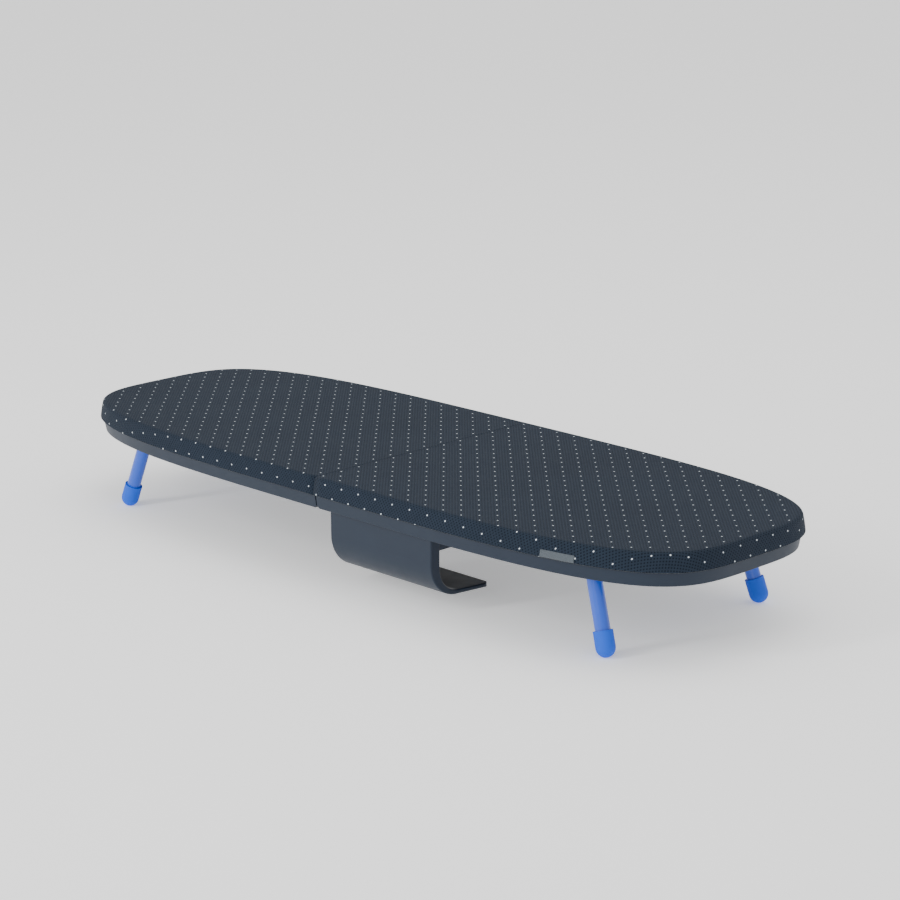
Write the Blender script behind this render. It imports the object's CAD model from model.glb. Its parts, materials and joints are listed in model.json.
"""Looks of the folding table-top ironing board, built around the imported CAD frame. Metres, +Z up."""
import json
import math

import bmesh
import bpy
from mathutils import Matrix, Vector


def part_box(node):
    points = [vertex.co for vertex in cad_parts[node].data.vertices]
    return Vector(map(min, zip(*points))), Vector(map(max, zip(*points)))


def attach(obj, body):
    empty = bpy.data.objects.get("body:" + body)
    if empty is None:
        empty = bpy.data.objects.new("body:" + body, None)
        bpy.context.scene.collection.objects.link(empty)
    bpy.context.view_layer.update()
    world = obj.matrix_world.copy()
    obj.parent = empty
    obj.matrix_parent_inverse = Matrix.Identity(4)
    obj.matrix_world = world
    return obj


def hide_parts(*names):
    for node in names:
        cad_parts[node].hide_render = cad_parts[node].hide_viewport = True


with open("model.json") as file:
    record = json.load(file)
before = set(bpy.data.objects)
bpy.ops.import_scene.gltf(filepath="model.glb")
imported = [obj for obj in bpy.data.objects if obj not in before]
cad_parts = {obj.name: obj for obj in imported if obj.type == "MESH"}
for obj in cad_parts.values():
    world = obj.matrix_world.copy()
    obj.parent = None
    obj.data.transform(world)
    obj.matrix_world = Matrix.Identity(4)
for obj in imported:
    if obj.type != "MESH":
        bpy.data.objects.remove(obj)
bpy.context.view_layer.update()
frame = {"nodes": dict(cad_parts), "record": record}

MM = 0.001

# ---- sizes taken from the frame ----
COVER_LOW, COVER_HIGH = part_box("cover_right")
HALF_LENGTH = COVER_HIGH[0]
HALF_WIDTH = (COVER_HIGH[1] - COVER_LOW[1]) / 2
HEM_Z, TOP_Z = COVER_LOW[2], COVER_HIGH[2]
BAND = TOP_Z - HEM_Z
PAD_LOW, PAD_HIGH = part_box("pad_right")
LABEL_LOW, LABEL_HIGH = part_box("label")

# ---- shape of the cover ----
OUTLINE_POWER = 3.8        # the same rounded rectangle as the CAD outline
LEAN = 3.0 * MM
EDGE_R = 4.0 * MM
FOLD_R = 0.3 * MM          # the cloth's turn into the fold
FOLD_START = 0.05 * MM     # the two covers all but touch
BINDING = 1.0 * MM         # dark bound edge along the hem
COVER_THICK = 0.7 * MM
COVER_WAVE = 0.35 * MM     # depth of the cloth's unevenness on top
BAND_PUFF = 0.35 * MM      # how far the side band swells out
PAD_BEND = 5 * MM          # how far the pad's top edge turns in
PAD_FOLD_BEND = 3 * MM
PAD_SHOULDER = 0.62        # share of the pad's height where its top edge starts
PAD_SINK = 1.4 * MM        # the pad's top below the cover's seat
LABEL_THICK = 0.3 * MM
LABEL_LIFT = 0.62 * MM
LABEL_SWELL = 0.12 * MM
LABEL_COLUMNS, LABEL_ROWS = 36, 8
ARC_POINTS = 120
FOLD_POINTS = 28
TOP_RINGS = 26
SIDES = {"right": 1, "left": -1}

# ---- pattern of the cloth ----
DOT_PITCH = 16.05 * MM
DOT_R = 0.70 * MM
PINHOLE_SHARE = 6          # pinholes to one dot pitch
PINHOLE_R = 0.72 * MM
DOT_SOFT = 0.12 * MM       # blur of a dot's rim
PINHOLE_SOFT = 0.2 * MM
THREAD_PITCH = 0.42 * MM
DOT_PHASE = {"right": (0.134, -0.170), "left": (-0.067, -0.448)}

# ---- colours, linear ----
CLOTH = (0.0185, 0.0275, 0.043)
CLOTH_DARK = (0.004, 0.007, 0.013)
BINDING_DARK = (0.005, 0.007, 0.010)
DOT_WHITE = (0.80, 0.86, 0.90)
PLASTIC = (0.012, 0.021, 0.038)
BLUE = (0.012, 0.090, 0.640)
BLUE_RUBBER = (0.012, 0.105, 0.700)
STEEL = (0.55, 0.56, 0.58)
FITTING = (0.020, 0.022, 0.027)
FOAM = (0.62, 0.62, 0.60)
WEBBING = (0.020, 0.023, 0.030)
LABEL = (0.10, 0.12, 0.14)
FLOOR = (0.93, 0.93, 0.93)
FLOOR_GLOW = 0.4           # keeps the floor pale all over, as a lit studio table does

# ---- camera and light ----
CAMERA_PLACE = (1.7278, -1.6913, 0.7551)
CAMERA_ELEVATION, CAMERA_AZIMUTH = 15.11, 45.0
CAMERA_LENS, CAMERA_SENSOR = 103.0, 36.0
CAMERA_SHIFT = -0.0019
WORLD_STRENGTH = 0.95
FLOOR_SIZE = 40.0
LIGHTS = (                 # name, place, width, height, power
    ("key", (-0.7, -2.6, 1.5), 0.35, 1.6, 34.0),
    ("front", (0.6, -3.0, 1.1), 2.0, 1.2, 13.0),
    ("top", (0.2, 0.4, 2.6), 2.2, 2.2, 19.0),
)


# ---------------------------------------------------------------- materials

def tint(colour, factor):
    """The colour made lighter or darker by a factor."""
    return tuple(factor * channel for channel in colour)


class Nodes:
    """A small helper that adds nodes to a new material and links them."""

    def __init__(self, name):
        self.material = bpy.data.materials.new(name)
        self.material.use_nodes = True
        self.tree = self.material.node_tree
        self.shader = self.tree.nodes["Principled BSDF"]

    def add(self, kind, **settings):
        node = self.tree.nodes.new(kind)
        for key, value in settings.items():
            setattr(node, key, value)
        return node

    def link(self, source, target):
        self.tree.links.new(source, target)

    def value(self, socket, value):
        """Link a socket to value, or set it when value is a plain number."""
        if isinstance(value, bpy.types.NodeSocket):
            self.link(value, socket)
        else:
            socket.default_value = value

    def math(self, operation, first, second=0.0):
        node = self.add("ShaderNodeMath", operation=operation)
        self.value(node.inputs[0], first)
        self.value(node.inputs[1], second)
        return node.outputs[0]

    def mix(self, share, first, second):
        """Blend two colours, each a tuple or a socket."""
        node = self.add("ShaderNodeMix", data_type="RGBA")
        self.value(node.inputs["Factor"], share)
        for socket, colour in ((node.inputs[6], first), (node.inputs[7], second)):
            self.value(socket, colour if isinstance(colour, bpy.types.NodeSocket) else (*colour, 1.0))
        return node.outputs[2]

    def fade(self, value, start, end):
        """1 below start, 0 above end, smooth in between."""
        node = self.add("ShaderNodeMapRange", interpolation_type="SMOOTHSTEP")
        self.value(node.inputs["Value"], value)
        node.inputs["From Min"].default_value = start
        node.inputs["From Max"].default_value = end
        node.inputs["To Min"].default_value = 1.0
        node.inputs["To Max"].default_value = 0.0
        return node.outputs["Result"]

    def place(self):
        """Object coordinates in metres."""
        return self.add("ShaderNodeTexCoord").outputs["Object"]

    def noise(self, scale, detail=3.0, roughness=0.55, where=None):
        node = self.add("ShaderNodeTexNoise")
        self.link(where or self.place(), node.inputs["Vector"])
        node.inputs["Scale"].default_value = scale
        node.inputs["Detail"].default_value = detail
        node.inputs["Roughness"].default_value = roughness
        return node.outputs["Fac"]

    def bump(self, height, distance, strength=1.0):
        node = self.add("ShaderNodeBump")
        node.inputs["Strength"].default_value = strength
        node.inputs["Distance"].default_value = distance
        self.link(height, node.inputs["Height"])
        self.link(node.outputs["Normal"], self.shader.inputs["Normal"])

    def set(self, **values):
        """Set the shader's own sockets; underscores stand for spaces."""
        for key, value in values.items():
            self.shader.inputs[key.replace("_", " ")].default_value = value

    def roughness(self, middle, spread, scale):
        """Roughness that varies a little over the surface."""
        vary = self.math("MULTIPLY_ADD", self.noise(scale), spread * 2)
        vary.node.inputs[2].default_value = middle - spread
        self.link(vary, self.shader.inputs["Roughness"])


def lattice(nodes, across, along, pitch, phase):
    """Distance in metres from the nearest point of a square lattice."""
    offsets = []
    for value, shift in ((across, phase[0]), (along, phase[1])):
        turns = nodes.math("SUBTRACT", nodes.math("DIVIDE", value, pitch), shift - 0.5)
        offsets.append(nodes.math("SUBTRACT", nodes.math("FRACT", turns), 0.5))
    squares = [nodes.math("MULTIPLY", offset, offset) for offset in offsets]
    return nodes.math("MULTIPLY", nodes.math("SQRT", nodes.math("ADD", *squares)), pitch)


def cover_material(name):
    """Slate cotton with a diagonal lattice of small white dots between fine dark pinholes."""
    nodes = Nodes("cloth_" + name)
    split = nodes.add("ShaderNodeSeparateXYZ")
    nodes.link(nodes.add("ShaderNodeUVMap", uv_map="cloth").outputs["UV"], split.inputs[0])
    x, y = split.outputs["X"], split.outputs["Y"]
    across = nodes.math("MULTIPLY", nodes.math("ADD", x, y), math.sqrt(0.5))
    along = nodes.math("MULTIPLY", nodes.math("SUBTRACT", y, x), math.sqrt(0.5))
    phase = DOT_PHASE[name]
    near = lattice(nodes, across, along, DOT_PITCH, phase)
    dots = nodes.fade(near, DOT_R - DOT_SOFT, DOT_R + DOT_SOFT)
    fine = [share * PINHOLE_SHARE for share in phase]
    fine_near = lattice(nodes, across, along, DOT_PITCH / PINHOLE_SHARE, fine)
    holes = nodes.fade(fine_near, PINHOLE_R - PINHOLE_SOFT, PINHOLE_R + PINHOLE_SOFT)
    threads = 2 * math.pi / THREAD_PITCH
    weave = nodes.math("MULTIPLY", nodes.math("SINE", nodes.math("MULTIPLY", x, threads)),
                       nodes.math("SINE", nodes.math("MULTIPLY", y, threads)))
    patch = nodes.noise(9.0, 4.0)
    slub = nodes.noise(260.0, 2.0)
    tone = nodes.math("ADD", nodes.math("MULTIPLY", patch, 0.5), nodes.math("MULTIPLY", slub, 0.5))
    ground = nodes.mix(tone, tint(CLOTH, 0.72), tint(CLOTH, 1.35))
    ground = nodes.mix(nodes.math("MULTIPLY", holes, 0.9), ground, CLOTH_DARK)
    nodes.link(nodes.mix(dots, ground, DOT_WHITE), nodes.shader.inputs["Base Color"])
    raised = nodes.math("SUBTRACT", nodes.math("MULTIPLY", dots, 1.4), nodes.math("MULTIPLY", holes, 1.0))
    height = nodes.math("ADD", raised, nodes.math("MULTIPLY", weave, 0.25))
    height = nodes.math("ADD", height, nodes.math("MULTIPLY", nodes.noise(70.0, 3.0), 0.8))
    nodes.bump(height, 0.12 * MM)
    nodes.roughness(0.82, 0.08, 180.0)
    nodes.set(Sheen_Weight=0.03, Sheen_Roughness=0.5, Specular_IOR_Level=0.08)
    return nodes.material


def plastic_material(name, colour, roughness=0.5, grain=900.0):
    """Moulded plastic with a fine spark-eroded grain and faint flow variation."""
    nodes = Nodes(name)
    cloud = nodes.noise(14.0, 3.0)
    nodes.link(nodes.mix(cloud, tint(colour, 0.88), tint(colour, 1.14)), nodes.shader.inputs["Base Color"])
    nodes.bump(nodes.noise(grain, 2.0, 0.6), 0.03 * MM)
    nodes.roughness(roughness, 0.07, 60.0)
    nodes.set(Specular_IOR_Level=0.28)
    return nodes.material


def paint_material(name, colour):
    """Semi-gloss powder coat with a faint orange peel."""
    nodes = Nodes(name)
    cloud = nodes.noise(40.0, 2.0)
    nodes.link(nodes.mix(cloud, tint(colour, 0.93), tint(colour, 1.06)), nodes.shader.inputs["Base Color"])
    nodes.bump(nodes.noise(420.0, 2.0), 0.015 * MM)
    nodes.roughness(0.30, 0.03, 90.0)
    nodes.set(Specular_IOR_Level=0.4, Coat_Weight=0.5, Coat_Roughness=0.08)
    return nodes.material


def steel_material(name, colour):
    """Zinc-plated steel with fine brushed streaks."""
    nodes = Nodes(name)
    stretch = nodes.add("ShaderNodeMapping")
    stretch.inputs["Scale"].default_value = (1.0, 12.0, 1.0)
    nodes.link(nodes.place(), stretch.inputs["Vector"])
    streaks = nodes.noise(500.0, 3.0, 0.6, stretch.outputs["Vector"])
    nodes.link(nodes.mix(streaks, tint(colour, 0.8), colour), nodes.shader.inputs["Base Color"])
    nodes.bump(streaks, 0.02 * MM)
    nodes.roughness(0.34, 0.06, 300.0)
    nodes.set(Metallic=1.0)
    return nodes.material


def cloth_material(name, colour, pitch, coarse=0.35):
    """Plain woven cloth, felt or tape: crossing threads of the given pitch and some fuzz."""
    nodes = Nodes(name)
    split = nodes.add("ShaderNodeSeparateXYZ")
    nodes.link(nodes.place(), split.inputs[0])
    turn = 2 * math.pi / pitch
    level = nodes.math("ADD", split.outputs["Y"], split.outputs["Z"])
    weave = nodes.math("MULTIPLY", nodes.math("SINE", nodes.math("MULTIPLY", split.outputs["X"], turn)),
                       nodes.math("SINE", nodes.math("MULTIPLY", level, turn)))
    shade = nodes.math("MULTIPLY_ADD", weave, 0.25)
    shade.node.inputs[2].default_value = 0.5
    fuzz = nodes.noise(320.0, 4.0)
    tone = nodes.math("ADD", nodes.math("MULTIPLY", shade, 0.6), nodes.math("MULTIPLY", fuzz, 0.4))
    nodes.link(nodes.mix(tone, tint(colour, 0.66), tint(colour, 1.25)), nodes.shader.inputs["Base Color"])
    nodes.bump(nodes.math("ADD", weave, fuzz), coarse * MM)
    nodes.roughness(0.88, 0.06, 200.0)
    nodes.set(Sheen_Weight=0.2, Specular_IOR_Level=0.2)
    return nodes.material


# ---------------------------------------------------------------- camera, light and floor

def make_stage():
    """A plain pale floor under soft studio light, and the camera."""
    world = bpy.data.worlds.new("studio")
    bpy.context.scene.world = world
    world.use_nodes = True
    world.node_tree.nodes["Background"].inputs["Color"].default_value = (1.0, 1.0, 1.0, 1.0)
    world.node_tree.nodes["Background"].inputs["Strength"].default_value = WORLD_STRENGTH
    bpy.ops.mesh.primitive_plane_add(size=FLOOR_SIZE, location=(0.0, 0.0, 0.0))
    floor = bpy.context.object
    floor.name = "floor"
    nodes = Nodes("floor_paper")
    nodes.link(nodes.mix(nodes.noise(3.0), tint(FLOOR, 0.99), FLOOR), nodes.shader.inputs["Base Color"])
    nodes.set(Roughness=0.9, Specular_IOR_Level=0.1,
              Emission_Color=(1.0, 1.0, 1.0, 1.0), Emission_Strength=FLOOR_GLOW)
    floor.data.materials.append(nodes.material)
    aim = Vector((0.0, 0.0, TOP_Z / 2))
    for name, place, width, height, power in LIGHTS:
        data = bpy.data.lights.new(name, "AREA")
        data.shape, data.size, data.size_y, data.energy = "RECTANGLE", width, height, power
        lamp = bpy.data.objects.new(name, data)
        bpy.context.collection.objects.link(lamp)
        lamp.location = place
        lamp.rotation_euler = (aim - lamp.location).to_track_quat("-Z", "Y").to_euler()


def make_camera():
    """The view from the front right, a little above the top."""
    data = bpy.data.cameras.new("camera")
    data.sensor_width, data.lens = CAMERA_SENSOR, CAMERA_LENS
    data.shift_x = CAMERA_SHIFT
    data.clip_end = 100.0
    camera = bpy.data.objects.new("camera", data)
    bpy.context.collection.objects.link(camera)
    camera.location = CAMERA_PLACE
    camera.rotation_euler = (math.radians(90.0 - CAMERA_ELEVATION), 0.0, math.radians(CAMERA_AZIMUTH))
    bpy.context.scene.camera = camera


# ---------------------------------------------------------------- soft pieces

def ring(inset, fold_x, z):
    """One closed loop round a right half: the outline moved in by inset, then back along the fold."""
    half_x, half_y = HALF_LENGTH - inset, max(HALF_WIDTH - inset, 0.0)
    points = []
    for step in range(ARC_POINTS):
        angle = math.pi * (step / (ARC_POINTS - 1) - 0.5)
        along, across = max(math.cos(angle), 0.0), math.sin(angle)
        radius = (along ** OUTLINE_POWER + abs(across) ** OUTLINE_POWER) ** (-1.0 / OUTLINE_POWER)
        x = fold_x + (half_x - fold_x) * radius * along
        points.append(Vector((x, half_y * radius * across, z)))
    for step in range(1, FOLD_POINTS):
        points.append(Vector((fold_x, half_y * (1.0 - 2.0 * step / FOLD_POINTS), z)))
    return points


def soft_waves(x, y):
    """Slight unevenness of cloth stretched over foam, from 0 to 1."""
    total = math.sin(31.0 * x + 1.7) * math.sin(43.0 * y + 0.6) + 0.6 * math.sin(67.0 * x - 52.0 * y)
    return 0.5 + total / 3.2


def band_rings():
    """The cover's side from the tucked hem to the top edge, as (inset, fold inset, height above the hem)."""
    rings = [(2.6, 1.5, 4.0), (2.5, 1.4, 1.4), (2.1, 1.15, 0.45),
             (1.4, 0.8, 0.1), (0.7, 0.4, 0.15), (0.22, 0.1, 0.65)]
    rings = [(a * MM, b * MM, c * MM) for a, b, c in rings]
    shoulder = BAND - EDGE_R
    steps = 9
    for step in range(steps):
        height = 1.5 * MM + (shoulder - 1.5 * MM) * step / (steps - 1)
        puff = BAND_PUFF * math.sin(math.pi * height / BAND)
        rings.append((LEAN * height / BAND - puff + 0.15 * MM, 0.0, height))
    base = rings[-1][0]
    for step in range(1, 9):
        angle = math.pi / 2 * step / 8
        rings.append((base + EDGE_R * (1 - math.cos(angle)), FOLD_R * (1 - math.cos(angle)),
                      shoulder + EDGE_R * math.sin(angle)))
    return rings


def top_rings(edge):
    """Loops from the top edge in to the middle line, with small waves given to their heights later."""
    inset, fold, height = edge
    rings = []
    for step in range(1, TOP_RINGS + 1):
        share = step / TOP_RINGS
        rings.append((inset + (HALF_WIDTH - inset) * share, fold + 0.2 * HALF_WIDTH * share, height))
    return rings


def finish_piece(name, mesh):
    """Turn a bmesh into an object of the scene."""
    data = bpy.data.meshes.new(name)
    mesh.to_mesh(data)
    mesh.free()
    piece = bpy.data.objects.new(name, data)
    bpy.context.collection.objects.link(piece)
    return piece


def loft(name, profile, side, base_z, wave=0.0, closed=False):
    """A mesh through the rings of a profile, mirrored for the left half, with its cloth coordinates."""
    mesh = bmesh.new()
    uv = mesh.loops.layers.uv.new("cloth")
    edge = len(profile) - TOP_RINGS - 1
    loops, flats = [], {}
    outer = ring(0.0, FOLD_START, 0.0)
    rim = ring(profile[edge][0], FOLD_START + profile[edge][1], 0.0)
    run = [0.0] * len(profile)
    for i in range(edge - 1, -1, -1):
        a, b = profile[i + 1], profile[i]
        run[i] = run[i + 1] + math.hypot(a[0] - b[0], a[2] - b[2])
    for i, (inset, fold, height) in enumerate(profile):
        loop = []
        for k, point in enumerate(ring(inset, FOLD_START + fold, base_z + height)):
            flat = point.copy()
            if i < edge:
                away = outer[k] - rim[k]
                if k >= ARC_POINTS:
                    away = Vector((-1.0, 0.0, 0.0))
                flat = rim[k] + away.normalized() * run[i]
            elif i > edge:
                point.z -= wave * soft_waves(point.x * side, point.y) * min(1.0, (i - edge) / 3)
            vert = mesh.verts.new((point.x * side, point.y, point.z))
            flats[vert] = (flat.x * side, flat.y)
            loop.append(vert)
        loops.append(loop)
    count = len(loops[0])
    for lower, upper in zip(loops, loops[1:]):
        for k in range(count):
            quad = [lower[k], lower[(k + 1) % count], upper[(k + 1) % count], upper[k]]
            mesh.faces.new(quad if side > 0 else quad[::-1])
    if closed:
        mesh.faces.new(loops[0][::-1] if side > 0 else loops[0])
    for face in mesh.faces:
        face.smooth = True
        for corner in face.loops:
            corner[uv].uv = flats[corner.vert]
    bmesh.ops.remove_doubles(mesh, verts=mesh.verts, dist=1e-6)
    return finish_piece(name, mesh)


def thicken(piece, thickness):
    """Give a surface the thickness of its cloth, on its inner side."""
    solid = piece.modifiers.new("cloth", "SOLIDIFY")
    solid.thickness, solid.offset = thickness, -1.0
    bpy.context.view_layer.objects.active = piece
    piece.select_set(True)
    bpy.ops.object.modifier_apply(modifier=solid.name)
    piece.select_set(False)


def make_cover(name, side):
    """The patterned cover of one half, tucked under at its hem and turned down into the fold."""
    band = band_rings()
    profile = band + top_rings(band[-1])
    piece = loft("cloth_cover_" + name, profile, side, HEM_Z, wave=COVER_WAVE)
    thicken(piece, COVER_THICK)
    piece.data.materials.append(cover_material(name))
    piece.data.materials.append(cloth_material("binding_" + name, BINDING_DARK, 0.6 * MM))
    for face in piece.data.polygons:
        if max(piece.data.vertices[v].co.z for v in face.vertices) < HEM_Z + BINDING:
            face.material_index = 1
    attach(piece, name + "_half")
    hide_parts("cover_" + name)


def make_pad(name, side):
    """The felt and foam pad under one cover."""
    height = PAD_HIGH[2] - PAD_LOW[2]
    start = (COVER_HIGH[1] - PAD_HIGH[1]) + 0.3 * MM
    fold = PAD_LOW[0] - FOLD_START
    rings = [(start + 0.8 * MM, fold + 0.6 * MM, 0.1 * MM), (start + 0.1 * MM, fold, 1.0 * MM)]
    rings += [(start + 0.3 * MM, fold, height * 0.3), (start + 0.9 * MM, fold, height * PAD_SHOULDER)]
    base = rings[-1][0]
    for step in range(1, 7):
        angle = math.pi / 2 * step / 6
        turn = 1 - math.cos(angle)
        rise = height * (1 - PAD_SHOULDER) - PAD_SINK
        rings.append((base + PAD_BEND * turn, fold + PAD_FOLD_BEND * turn,
                      height * PAD_SHOULDER + rise * math.sin(angle)))
    piece = loft("foam_pad_" + name, rings + top_rings(rings[-1]), side, PAD_LOW[2], closed=True)
    piece.data.materials.append(cloth_material("felt_" + name, FOAM, 1.6 * MM))
    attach(piece, name + "_half")
    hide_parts("pad_" + name)


def hem_point(x, z, lift):
    """A point on the front of the cover's band, lifted off it."""
    inset = LEAN * (z - HEM_Z) / BAND - lift
    share = x / (HALF_LENGTH - inset)
    return Vector((x, -(HALF_WIDTH - inset) * (1.0 - share ** OUTLINE_POWER) ** (1.0 / OUTLINE_POWER), z))


def make_label():
    """A plain woven tag on the front band, with folded ends and no marking."""
    mesh = bmesh.new()
    columns, rows = LABEL_COLUMNS, LABEL_ROWS
    grid = []
    for i in range(columns + 1):
        x = LABEL_LOW[0] + (LABEL_HIGH[0] - LABEL_LOW[0]) * i / columns
        fold = 0.25 * MM if 1 < i < columns - 1 else 0.0
        line = []
        for j in range(rows + 1):
            z = LABEL_LOW[2] + (LABEL_HIGH[2] - LABEL_LOW[2]) * j / rows
            swell = LABEL_SWELL * math.sin(math.pi * j / rows)
            line.append(mesh.verts.new(hem_point(x, z, LABEL_LIFT - fold + swell)))
        grid.append(line)
    for i in range(columns):
        for j in range(rows):
            face = mesh.faces.new([grid[i][j], grid[i + 1][j], grid[i + 1][j + 1], grid[i][j + 1]])
            face.smooth = True
    piece = finish_piece("woven_label", mesh)
    thicken(piece, LABEL_THICK)
    piece.data.materials.append(cloth_material("label_tape", LABEL, 0.7 * MM, coarse=0.12))
    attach(piece, "right_half")
    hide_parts("label")


# ---------------------------------------------------------------- carried-over pieces

def paint_frame():
    """Give every shown CAD node the material of its slot."""
    by_slot = {
        "tray_plastic": plastic_material("tray_plastic", PLASTIC, 0.48),
        "hook_plastic": plastic_material("hook_plastic", PLASTIC, 0.42),
        "fitting_plastic": plastic_material("fitting_plastic", FITTING, 0.55),
        "bolt_plastic": plastic_material("bolt_plastic", BLUE, 0.45),
        "leg_paint": paint_material("leg_paint", BLUE),
        "foot_rubber": plastic_material("foot_rubber", BLUE_RUBBER, 0.62, 600.0),
        "screw_steel": steel_material("screw_steel", STEEL),
        "webbing": cloth_material("webbing", WEBBING, 1.8 * MM),
    }
    for row in frame["record"]["subparts"]:
        material = by_slot.get(row["material_slot"])
        if material is None:
            continue
        data = frame["nodes"][row["node"]].data
        data.materials.clear()
        data.materials.append(material)


make_camera()
make_stage()
for half, sign in SIDES.items():
    make_pad(half, sign)
    make_cover(half, sign)
make_label()
paint_frame()
